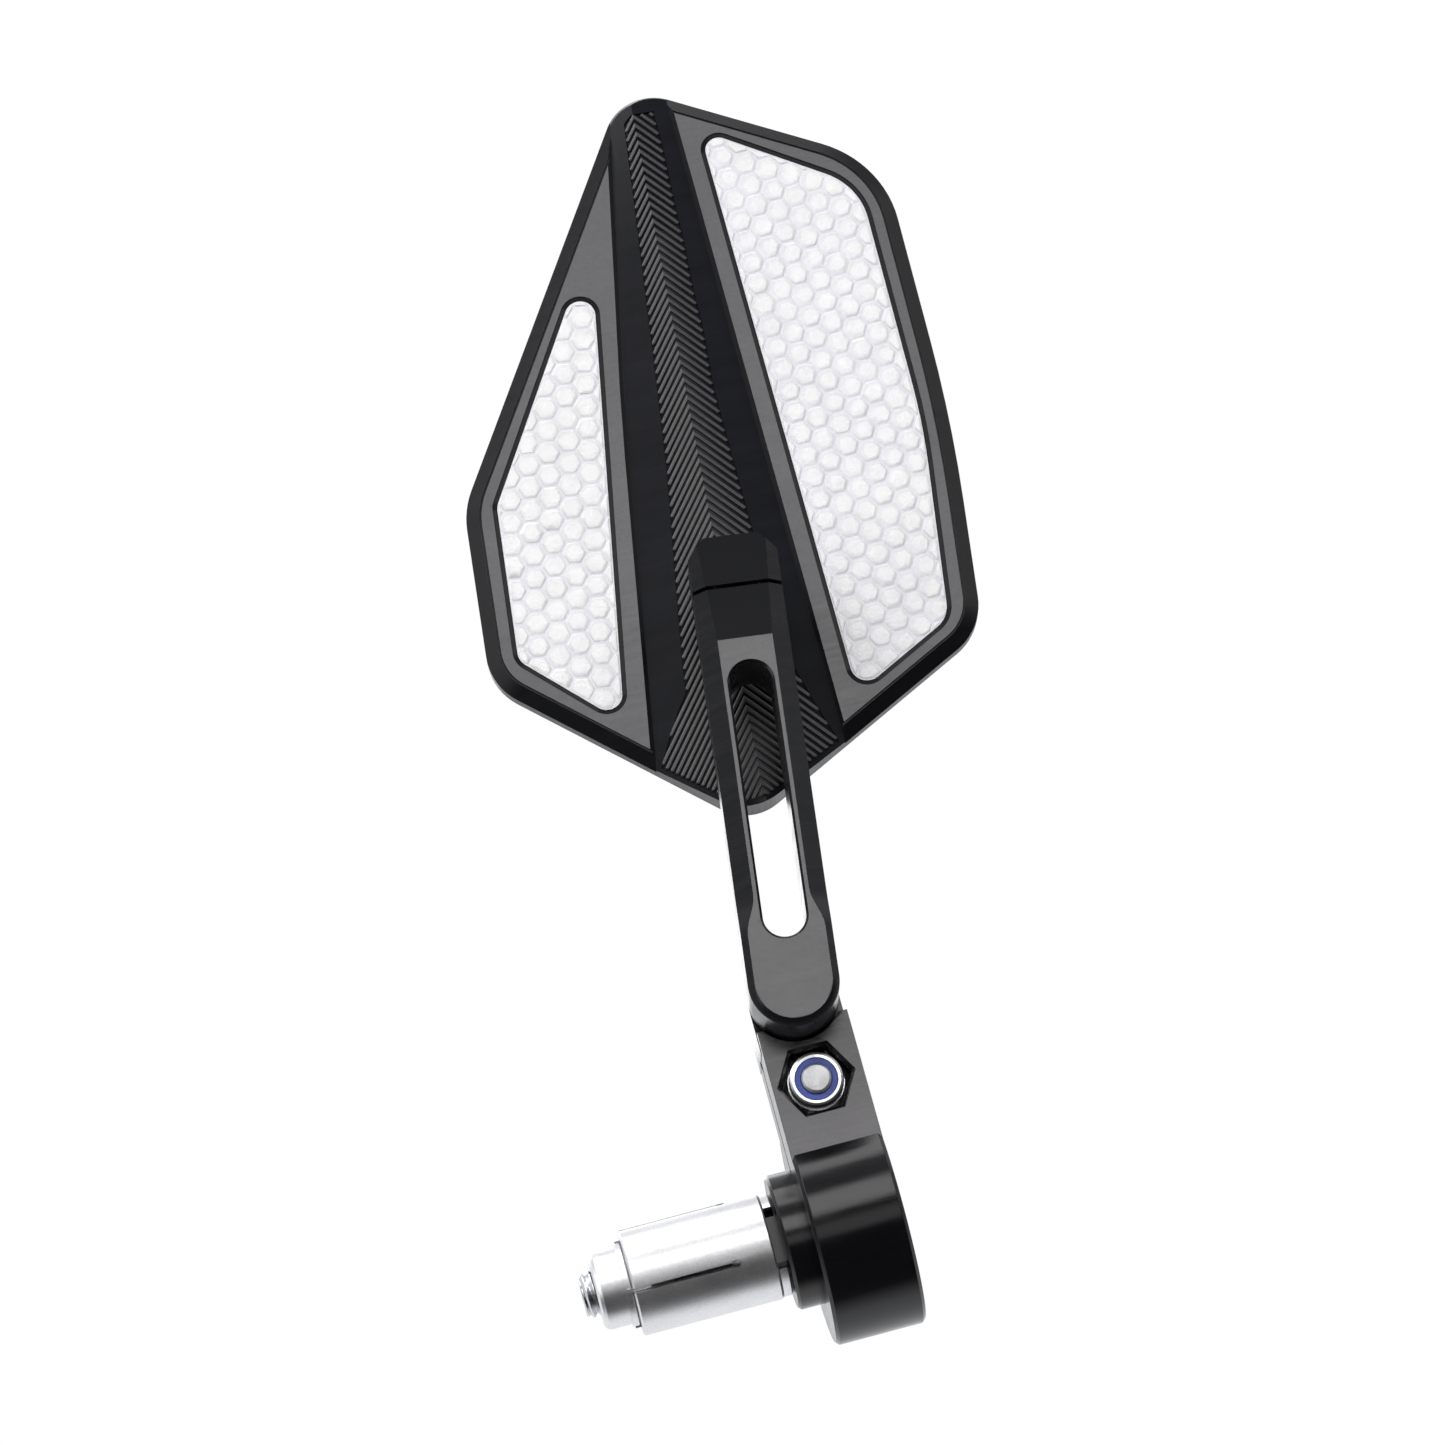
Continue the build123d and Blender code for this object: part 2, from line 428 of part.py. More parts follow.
def roof_section(z):
    t = (z - 60.0) / (215.0 - 60.0)
    ax = APEX_BOT[0] + (APEX_TOP[0] - APEX_BOT[0]) * t
    ay = APEX_BOT[1] + (APEX_TOP[1] - APEX_BOT[1]) * t
    l, r = at(CHANNEL_L, z), at(CHANNEL_R, z)
    p = [Vector(l, VALLEY_Y, z), Vector(ax, ay, z), Vector(r, VALLEY_Y, z), Vector(r, EDGE_Y + 0.4, z), Vector(l, EDGE_Y + 0.4, z)]
    return Face(Wire([Line(p[i], p[(i + 1) % 5]) for i in range(5)]))


roof = loft([roof_section(z) for z in (60.0, 145.0, 215.0)], ruled=True)
envelope = prism(outline, EDGE_Y, EDGE_Y + 0.6) + tapered(outline, EDGE_Y, -8.6, 2.41)
foot = prism(outline, -8.0, EDGE_Y + 0.6) + tapered(outline, -8.0, -8.6, 0.35)
foot = foot & box(-60, 90, -12, 2, 40, 112)
shell = shell + (roof & envelope) + (roof & foot)
# tray for the glass
shell = shell - prism(inset(outline, RIM), FLOOR_Y, 5)
# stud seat, hole and counterbore
shell = shell - ycyl(BALL_X, BALL_Z, 4.6, -20, SEAT_Y) - ycyl(BALL_X, BALL_Z, NECK_R + 0.06, -20, 0) - ycyl(BALL_X, BALL_Z, 3.2, -5.5, 0)
wins = {"right": rounded(WIN_RIGHT), "left": rounded(WIN_LEFT)}
for side, w in wins.items():
    shell = shell - prism(w, PLATE_Y - 1, PLATE_Y + POCKET) - prism(inset(w, -LEDGE), PLATE_Y - 1, PLATE_Y + LEDGE_D)
save(shell, "head_shell")
for side, w in wins.items():
    g = inset(w, 0.12)
    yb = PLATE_Y + POCKET
    save(prism(g, yb - BACK_T, yb), "reflector_adhesive_" + side)
    save(prism(g, yb - BACK_T - FILM_T, yb - BACK_T), "reflector_" + side)
pad_face = inset(outline, RIM + 0.9)
pad = prism(pad_face, FLOOR_Y, FLOOR_Y + 0.6) - ycyl(BALL_X, BALL_Z, 3.4, -10, 5)
save(pad, "glass_foam_pad")
glass_face = inset(outline, RIM + 0.12)
glass = prism(glass_face, FLOOR_Y + 0.6, FLOOR_Y + 2.0) + loft([Pos(0, FLOOR_Y + 2.0, 0) * glass_face, Pos(0, FLOOR_Y + 2.25, 0) * inset(glass_face, 0.25)], ruled=True)
save(glass, "mirror_glass")
print("ball", BALL_X + DATUM, BALL_Y, BALL_Z)
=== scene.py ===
import bpy, bmesh, json, math, random
from mathutils import Vector, Matrix
from mathutils import noise as mnoise

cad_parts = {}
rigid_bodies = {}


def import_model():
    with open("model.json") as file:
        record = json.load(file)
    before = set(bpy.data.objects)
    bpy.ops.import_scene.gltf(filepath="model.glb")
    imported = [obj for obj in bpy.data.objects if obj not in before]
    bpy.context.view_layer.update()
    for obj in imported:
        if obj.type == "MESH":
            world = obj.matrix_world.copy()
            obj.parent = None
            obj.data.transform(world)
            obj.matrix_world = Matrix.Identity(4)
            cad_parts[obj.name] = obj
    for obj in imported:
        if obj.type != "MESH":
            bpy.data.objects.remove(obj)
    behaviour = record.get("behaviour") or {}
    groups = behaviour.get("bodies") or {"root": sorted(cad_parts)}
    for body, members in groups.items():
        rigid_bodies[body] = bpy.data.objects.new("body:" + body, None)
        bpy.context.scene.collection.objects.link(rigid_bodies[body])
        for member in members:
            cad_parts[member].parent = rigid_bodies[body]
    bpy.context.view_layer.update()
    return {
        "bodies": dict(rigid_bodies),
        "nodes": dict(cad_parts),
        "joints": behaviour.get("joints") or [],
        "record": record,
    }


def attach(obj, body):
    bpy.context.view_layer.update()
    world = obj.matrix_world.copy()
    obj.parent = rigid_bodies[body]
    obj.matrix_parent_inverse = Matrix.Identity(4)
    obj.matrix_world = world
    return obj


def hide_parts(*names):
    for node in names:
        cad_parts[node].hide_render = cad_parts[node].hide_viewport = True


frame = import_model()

MM = 0.001
DX = 2.2            # all drawing numbers below have x = 0 in the collar face
scn = bpy.context.scene
random.seed(7)


# ------------------------------------------------------------------ materials
def new_mat(name):
    m = bpy.data.materials.new(name)
    m.use_nodes = True
    nt = m.node_tree
    for n in list(nt.nodes):
        nt.nodes.remove(n)
    out = nt.nodes.new("ShaderNodeOutputMaterial")
    b = nt.nodes.new("ShaderNodeBsdfPrincipled")
    nt.links.new(b.outputs[0], out.inputs[0])
    tc = nt.nodes.new("ShaderNodeTexCoord")
    return m, nt, b, tc


def mapping(nt, tc, scale, rot=(0, 0, 0)):
    mp = nt.nodes.new("ShaderNodeMapping")
    mp.inputs["Scale"].default_value = scale
    mp.inputs["Rotation"].default_value = rot
    nt.links.new(tc.outputs["Object"], mp.inputs["Vector"])
    return mp


def noise(nt, vec, scale, detail=3.0, rough=0.6):
    n = nt.nodes.new("ShaderNodeTexNoise")
    n.inputs["Scale"].default_value = scale
    n.inputs["Detail"].default_value = detail
    n.inputs["Roughness"].default_value = rough
    nt.links.new(vec, n.inputs["Vector"])
    return n.outputs["Fac"]


def remap(nt, val, a, b, lo=0.3, hi=0.7):
    r = nt.nodes.new("ShaderNodeMapRange")
    r.inputs["From Min"].default_value = lo
    r.inputs["From Max"].default_value = hi
    r.inputs["To Min"].default_value = a
    r.inputs["To Max"].default_value = b
    nt.links.new(val, r.inputs["Value"])
    return r.outputs["Result"]


def mathn(nt, op, a, b=None, clamp=False):
    n = nt.nodes.new("ShaderNodeMath")
    n.operation = op
    n.use_clamp = clamp
    for i, v in enumerate((a, b)):
        if v is None:
            continue
        if isinstance(v, (int, float)):
            n.inputs[i].default_value = v
        else:
            nt.links.new(v, n.inputs[i])
    return n.outputs[0]


def ramp_col(nt, val, c0, c1, lo=0.3, hi=0.7):
    r = nt.nodes.new("ShaderNodeValToRGB")
    r.color_ramp.elements[0].position = lo
    r.color_ramp.elements[0].color = (*c0, 1)
    r.color_ramp.elements[1].position = hi
    r.color_ramp.elements[1].color = (*c1, 1)
    nt.links.new(val, r.inputs["Fac"])
    return r.outputs["Color"]


def bump(nt, b, height, dist, strength=0.6):
    n = nt.nodes.new("ShaderNodeBump")
    n.inputs["Distance"].default_value = dist
    n.inputs["Strength"].default_value = strength
    nt.links.new(height, n.inputs["Height"])
    nt.links.new(n.outputs["Normal"], b.inputs["Normal"])
    return n


def anodised(name, base, spec, rough, streak_scale, streak=0.08, grain=0.25, rot=(0, 0, 0), metal=0.0, mottle=0.0):
    m, nt, b, tc = new_mat(name)
    fine = noise(nt, mapping(nt, tc, (1, 1, 1)).outputs[0], 5200.0, 2.0)
    st = noise(nt, mapping(nt, tc, streak_scale, rot).outputs[0], 1.0, 3.0)
    big = noise(nt, mapping(nt, tc, (1, 1, 1)).outputs[0], 55.0, 3.0)
    v = mathn(nt, "ADD", mathn(nt, "MULTIPLY", st, 0.6), mathn(nt, "MULTIPLY", big, 0.4))
    nt.links.new(remap(nt, v, rough - streak, rough + streak), b.inputs["Roughness"])
    k = mathn(nt, "ADD", mathn(nt, "MULTIPLY", fine, 0.5), mathn(nt, "MULTIPLY", st, 0.5))
    if mottle:
        mid = noise(nt, mapping(nt, tc, (1, 1, 1)).outputs[0], 1100.0, 5.0, 0.7)
        k = mathn(nt, "ADD", mathn(nt, "MULTIPLY", k, 1.0 - mottle), mathn(nt, "MULTIPLY", mid, mottle))
    nt.links.new(ramp_col(nt, k, tuple(c * (0.75 - 0.5 * mottle) for c in base), tuple(c * (1.3 + mottle) for c in base)), b.inputs["Base Color"])
    b.inputs["Metallic"].default_value = metal
    b.inputs["Specular IOR Level"].default_value = spec
    h = mathn(nt, "ADD", mathn(nt, "MULTIPLY", fine, 0.7), mathn(nt, "MULTIPLY", st, 0.3))
    bump(nt, b, h, 0.00002, grain)
    return m


BLACK = (0.0085, 0.0088, 0.0105)
m_black = anodised("anodised_black", (0.0068, 0.0070, 0.0085), 0.20, 0.34, (60, 60, 900), 0.05)
# painted sheen: the milled plates are black anodising given a grey base colour standing in for the front light they
# catch
m_face = anodised("anodised_black_milled_face_painted_sheen", (0.054, 0.0510, 0.0560), 0.95, 0.40, (90, 90, 2400), 0.07, 0.35, (0, math.radians(12), 0), mottle=0.34)
m_facet = anodised("anodised_black_facet", (0.0098, 0.0102, 0.0132), 0.16, 0.30, (60, 60, 400), 0.03, 0.12)
# painted sheen: the ridges are black anodising given a lighter base colour standing in for their lit sides
m_rib = anodised("anodised_black_ribs_painted_sheen", (0.029, 0.0280, 0.0315), 0.9, 0.42, (60, 60, 900))
m_turned = anodised("anodised_black_turned", (0.0050, 0.0052, 0.0065), 0.45, 0.18, (3800, 40, 40), 0.05, 0.15)


m_bevel = anodised("anodised_black_bevels", (0.0070, 0.0073, 0.0090), 0.30, 0.24, (60, 60, 900))
# painted sheen: the arm's flat faces are black anodising given a grey base colour standing in for the front light they
# catch
m_armface = anodised("anodised_black_arm_face_painted_sheen", (0.047, 0.0440, 0.0480), 0.98, 0.36, (90, 90, 1500), 0.05, 0.35, mottle=0.34)
m_slope = anodised("anodised_black_slope", (0.0062, 0.0065, 0.0085), 0.08, 0.30, (60, 60, 400), 0.03, 0.12)
m_ring = anodised("anodised_black_ring", (0.0045, 0.0047, 0.0060), 0.42, 0.17, (140, 30, 1800), 0.06, 0.30)
m_neck = anodised("anodised_black_neck_painted_light", (0.054, 0.0505, 0.0540), 0.75, 0.30, (60, 60, 1400), 0.05, 0.3, mottle=0.2)
# painted light: the neck's grey base colour is painted sheen from the front light, and it is scaled lighter towards the
# bottom and darker towards the top as painted shade by height
nt = m_neck.node_tree
nb = next(n for n in nt.nodes if n.type == "BSDF_PRINCIPLED")
src = nb.inputs["Base Color"].links[0].from_socket
tcn = next(n for n in nt.nodes if n.type == "TEX_COORD")
sep = nt.nodes.new("ShaderNodeSeparateXYZ")
nt.links.new(tcn.outputs["Object"], sep.inputs[0])
neck_painted_shade_by_height = remap(nt, sep.outputs["Z"], 1.8, 0.70, 0.012, 0.026)
vm = nt.nodes.new("ShaderNodeVectorMath")
vm.operation = "SCALE"
nt.links.new(src, vm.inputs[0])
nt.links.new(neck_painted_shade_by_height, vm.inputs["Scale"])
nt.links.new(vm.outputs[0], nb.inputs["Base Color"])


def bare(name, base, rough, streak_scale, grain, metal=1.0, spread=0.12):
    m, nt, b, tc = new_mat(name)
    fine = noise(nt, mapping(nt, tc, (1, 1, 1)).outputs[0], 2600.0, 3.0)
    st = noise(nt, mapping(nt, tc, streak_scale).outputs[0], 1.0, 4.0)
    big = noise(nt, mapping(nt, tc, (1, 1, 1)).outputs[0], 160.0, 4.0)
    v = mathn(nt, "ADD", mathn(nt, "MULTIPLY", st, 0.5), mathn(nt, "MULTIPLY", big, 0.5))
    nt.links.new(remap(nt, v, rough - spread, rough + spread), b.inputs["Roughness"])
    k = mathn(nt, "ADD", mathn(nt, "MULTIPLY", fine, 0.6), mathn(nt, "MULTIPLY", big, 0.4))
    nt.links.new(ramp_col(nt, k, tuple(c * 0.78 for c in base), base), b.inputs["Base Color"])
    b.inputs["Metallic"].default_value = metal
    h = mathn(nt, "ADD", mathn(nt, "MULTIPLY", fine, 0.75), mathn(nt, "MULTIPLY", st, 0.25))
    bump(nt, b, h, 0.00003, grain)
    return m


m_alu = bare("bare_aluminium", (0.92, 0.92, 0.935), 0.37, (900, 300, 300), 0.65, metal=0.92, spread=0.04)
m_zinc = bare("zinc_plated_steel", (0.80, 0.81, 0.83), 0.30, (300, 300, 300), 0.4)
m_bolt_end = bare("zinc_plated_bolt", (0.66, 0.66, 0.67), 0.42, (300, 300, 300), 0.6, metal=0.85)
m_steel = bare("polished_steel", (0.80, 0.80, 0.82), 0.12, (300, 300, 300), 0.1, spread=0.05)
m_bolt_black = anodised("black_oxide_steel", (0.016, 0.016, 0.018), 0.6, 0.34, (500, 500, 500))


def plastic(name, base, rough, spec=0.5, grain=0.35, scale=2200.0):
    m, nt, b, tc = new_mat(name)
    f = noise(nt, mapping(nt, tc, (1, 1, 1)).outputs[0], scale, 3.0)
    g = noise(nt, mapping(nt, tc, (1, 1, 1)).outputs[0], 240.0, 2.0)
    nt.links.new(ramp_col(nt, g, tuple(c * 0.82 for c in base), tuple(min(1, c * 1.15) for c in base)), b.inputs["Base Color"])
    nt.links.new(remap(nt, f, rough - 0.07, rough + 0.07), b.inputs["Roughness"])
    b.inputs["Specular IOR Level"].default_value = spec
    bump(nt, b, f, 0.00003, grain)
    return m


m_blue = plastic("blue_nylon", (0.045, 0.085, 0.42), 0.38)
m_nylon = plastic("black_nylon", (0.018, 0.018, 0.019), 0.45)
m_foam = plastic("foam_pad", (0.03, 0.03, 0.03), 0.85, 0.2, 0.9, 1500.0)
m_glue = plastic("clear_adhesive", (0.62, 0.62, 0.66), 0.3)

# mirror: silvered glass, almost flawless, with faint wipe marks
m_mirror, nt, b, tc = new_mat("silvered_glass")
sm = noise(nt, mapping(nt, tc, (25, 25, 90), (0, 0.5, 0)).outputs[0], 1.0, 4.0)
nt.links.new(remap(nt, sm, 0.006, 0.035, 0.35, 0.75), b.inputs["Roughness"])
nt.links.new(ramp_col(nt, sm, (0.66, 0.70, 0.74), (0.72, 0.76, 0.79)), b.inputs["Base Color"])
b.inputs["Metallic"].default_value = 1.0
b.inputs["Coat Weight"].default_value = 0.6
b.inputs["Coat Roughness"].default_value = 0.02


def film(name, base, crinkle):
    """White sealed-cell film: cells are geometry, this gives sheen, crinkle and tint."""
    m, nt, b, tc = new_mat(name)
    v = mapping(nt, tc, (1, 1, 1)).outputs[0]
    cr = noise(nt, v, 330.0, 4.0, 0.65)
    fine = noise(nt, v, 2600.0, 2.0)
    big = noise(nt, v, 75.0, 2.0)
    c = mathn(nt, "ADD", mathn(nt, "MULTIPLY", cr, 0.6), mathn(nt, "MULTIPLY", big, 0.4))
    nt.links.new(ramp_col(nt, c, tuple(x * 0.93 for x in base), tuple(min(1.0, x * 1.05) for x in base), 0.35, 0.65), b.inputs["Base Color"])
    nt.links.new(remap(nt, fine, 0.22, 0.38), b.inputs["Roughness"])
    b.inputs["Specular IOR Level"].default_value = 0.55
    b.inputs["Coat Weight"].default_value = 0.5
    b.inputs["Coat Roughness"].default_value = 0.12
    h = mathn(nt, "ADD", mathn(nt, "MULTIPLY", cr, 1.0), mathn(nt, "MULTIPLY", fine, 0.12))
    bump(nt, b, h, 0.00035, crinkle)
    return m


m_cell = film("reflective_film_cells", (0.96, 0.96, 0.965), 0.60)
# painted shade: the cells' sloping sides get a darker, lavender copy of the film standing in for the shade that falls
# on them
m_flank = film("reflective_film_cell_sides_painted_shade", (0.885, 0.88, 0.915), 0.60)
m_seam = film("reflective_film_seams", (0.80, 0.79, 0.845), 0.45)


def obj(node):
    return bpy.data.objects[node]


NODES = frame["nodes"] if isinstance(frame, dict) and "nodes" in frame else None


def find(node):
    for o in bpy.data.objects:
        if o.type == "MESH" and (o.name == node or o.get("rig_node") == node):
            return o
    raise RuntimeError("no node " + node)


def paint(o, *mats):
    o.data.materials.clear() if False else None
    for s in list(o.material_slots):
        pass
    while len(o.data.materials) < len(mats):
        o.data.materials.append(None)
    for i, m in enumerate(mats):
        o.material_slots[i].link = "OBJECT"
        o.material_slots[i].material = m


def bevel(o, w, seg=2, angle=28):
    md = o.modifiers.new("edges", "BEVEL")
    md.width = w * MM
    md.segments = seg
    md.limit_method = "ANGLE"
    md.angle_limit = math.radians(angle)
    md.harden_normals = False
    md.use_clamp_overlap = True
    md.miter_outer = "MITER_ARC"
    return md


def even_normals(o):
    """Large flat faces stay flat next to their broken edges."""
    md = o.modifiers.new("even_normals", "WEIGHTED_NORMAL")
    md.mode = "FACE_AREA"
    md.weight = 80
    md.keep_sharp = True
    return md


def smooth(o, angle=30):
    o.data.shade_smooth() if hasattr(o.data, "shade_smooth") else None
    try:
        o.data.set_sharp_from_angle(angle=math.radians(angle))
    except Exception:
        pass


# -------------------------------------------------------------- new geometry
def mesh_obj(name, verts, faces):
    me = bpy.data.meshes.new(name)
    me.from_pydata([tuple(v) for v in verts], [], faces)
    me.validate()
    o = bpy.data.objects.new(name, me)
    scn.collection.objects.link(o)
    return o


def fix_normals(me):
    bm = bmesh.new()
    bm.from_mesh(me)
    bmesh.ops.recalc_face_normals(bm, faces=bm.faces)
    bm.to_mesh(me)
    bm.free()


def copy_piece(node, name, body, width=0.0, seg=2, angle=28, weld=2e-6):
    """A piece standing for the CAD node, with its edges broken."""
    me = find(node).data.copy()
    for at in [a_.name for a_ in me.attributes if "normal" in a_.name or a_.name.startswith("sharp")]:
        me.attributes.remove(me.attributes[at])
    bm = bmesh.new()
    bm.from_mesh(me)
    bmesh.ops.remove_doubles(bm, verts=bm.verts, dist=weld)
    open_edges = sum(1 for e in bm.edges if not e.is_manifold)
    bm.to_mesh(me)
    bm.free()
    if open_edges:
        print("open edges", node, open_edges)
    me.materials.clear()
    o = bpy.data.objects.new(name, me)
    scn.collection.objects.link(o)
    if width:
        bevel(o, width, seg, angle)
        freeze(o)
    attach(o, body)
    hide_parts(node)
    return o


def freeze(o):
    bpy.context.view_layer.update()
    dg = bpy.context.evaluated_depsgraph_get()
    res = bpy.data.meshes.new_from_object(o.evaluated_get(dg), depsgraph=dg)
    o.modifiers.clear()
    o.data = res
    return res


def carve(node, cutter, name, body, width=0.0, angle=28):
    """A piece standing for the CAD node with the cutter's grooves in it."""
    o = copy_piece(node, name, body, width, 2, angle)
    before = len(o.data.polygons)
    fix_normals(cutter.data)
    for sv in ("MANIFOLD", "EXACT"):
        md = o.modifiers.new("grooves", "BOOLEAN")
        md.operation = "DIFFERENCE"
        md.object = cutter
        md.solver = sv
        bpy.context.view_layer.update()
        dg = bpy.context.evaluated_depsgraph_get()
        res = bpy.data.meshes.new_from_object(o.evaluated_get(dg), depsgraph=dg)
        o.modifiers.clear()
        if len(res.polygons) > before + 20:
            o.data = res
            print("carved", node, sv, before, len(res.polygons))
            break
        print("carve retry", node, sv, before, len(res.polygons))
    bpy.data.objects.remove(cutter)
    return o


# -- outline of the head, in millimetres of the drawing
OUTLINE = [((26.71, 207.53), 8.7), ((67.62, 181.79), 19.8), ((66.31, 131.96), 280.0),
           ((61.19, 93.64), 10.8), ((13.81, 70.73), 8.5), ((-23.30, 105.51), 10.6), ((-19.93, 137.68), 15.6)]
WIN_RIGHT = [((37.5, 195.7), 2.5), ((62.35, 177.95), 12.0), ((61.25, 132.0), 120.0),
             ((55.98, 96.66), 5.0), ((37.05, 87.45), 3.0)]
WIN_LEFT = [((13.86, 180.5), 2.8), ((-2.72, 92.62), 2.8), ((-17.68, 108.29), 3.2), ((-14.44, 136.4), 4.0)]


def round_poly(verts, off=0.0, n=14):
    """Counter-clockwise list of points of the rounded convex polygon, moved in by off."""
    pts = []
    N = len(verts)
    for i in range(N):
        p, r = verts[i]
        a, b_ = verts[i - 1][0], verts[(i + 1) % N][0]
        A = Vector((a[0] - p[0], a[1] - p[1])).normalized()
        B = Vector((b_[0] - p[0], b_[1] - p[1])).normalized()
        half = math.acos(max(-1, min(1, A.dot(B)))) / 2
        mid = (A + B).normalized()
        c = Vector(p) + mid * (r / math.sin(half))
        rr = r - off
        t0 = (Vector(p) + A * (r / math.tan(half)) - c)
        t1 = (Vector(p) + B * (r / math.tan(half)) - c)
        a0, a1 = math.atan2(t0.y, t0.x), math.atan2(t1.y, t1.x)
        d = (a1 - a0 + math.pi) % (2 * math.pi) - math.pi
        for k in range(n + 1):
            t = a0 + d * k / n
            pts.append((c.x + rr * math.cos(t), c.y + rr * math.sin(t)))
    area = sum(pts[i][0] * pts[(i + 1) % len(pts)][1] - pts[(i + 1) % len(pts)][0] * pts[i][1] for i in range(len(pts)))
    if area < 0:
        pts.reverse()
    return pts


def clip(poly, win):
    """Part of the polygon inside the convex counter-clockwise window."""
    out = list(poly)
    for i in range(len(win)):
        x1, y1 = win[i]
        x2, y2 = win[(i + 1) % len(win)]
        if abs(x1 - x2) + abs(y1 - y2) < 1e-9:
            continue
        inp, out = out, []
        if not inp:
            return []
        side = lambda p: (x2 - x1) * (p[1] - y1) - (y2 - y1) * (p[0] - x1)
        for j in range(len(inp)):
            p, q = inp[j], inp[(j + 1) % len(inp)]
            sp, sq = side(p), side(q)
            if sp >= 0:
                out.append(p)
            if sp * sq < 0:
                t = sp / (sp - sq)
                out.append((p[0] + t * (q[0] - p[0]), p[1] + t * (q[1] - p[1])))
    return out


def inset_convex(poly, d):
    """Convex counter-clockwise polygon moved in by d, or [] when it vanishes."""
    n = len(poly)
    out = list(poly)
    res = [(-1e3, -1e3), (1e3, -1e3), (1e3, 1e3), (-1e3, 1e3)]
    lines = []
    for i in range(n):
        x1, y1 = poly[i]
        x2, y2 = poly[(i + 1) % n]
        L = math.hypot(x2 - x1, y2 - y1)
        if L < 1e-6:
            continue
        nx, ny = -(y2 - y1) / L, (x2 - x1) / L
        lines.append(((x1 + nx * d, y1 + ny * d), (x2 + nx * d, y2 + ny * d)))
    for (a, c) in lines:
        inp, out2 = res, []
        if not inp:
            return []
        side = lambda p: (c[0] - a[0]) * (p[1] - a[1]) - (c[1] - a[1]) * (p[0] - a[0])
        for j in range(len(inp)):
            p, q = inp[j], inp[(j + 1) % len(inp)]
            sp, sq = side(p), side(q)
            if sp >= 0:
                out2.append(p)
            if sp * sq < 0:
                t = sp / (sp - sq)
                out2.append((p[0] + t * (q[0] - p[0]), p[1] + t * (q[1] - p[1])))
        res = out2
    return res


def dedupe(poly, eps=0.02):
    out = []
    for p in poly:
        if not out or math.hypot(p[0] - out[-1][0], p[1] - out[-1][1]) > eps:
            out.append(p)
    while len(out) > 2 and math.hypot(out[0][0] - out[-1][0], out[0][1] - out[-1][1]) <= eps:
        out.pop()
    return out


FILM_Y = -5.7 + 0.9 - 0.2 - 0.45     # front face of the film


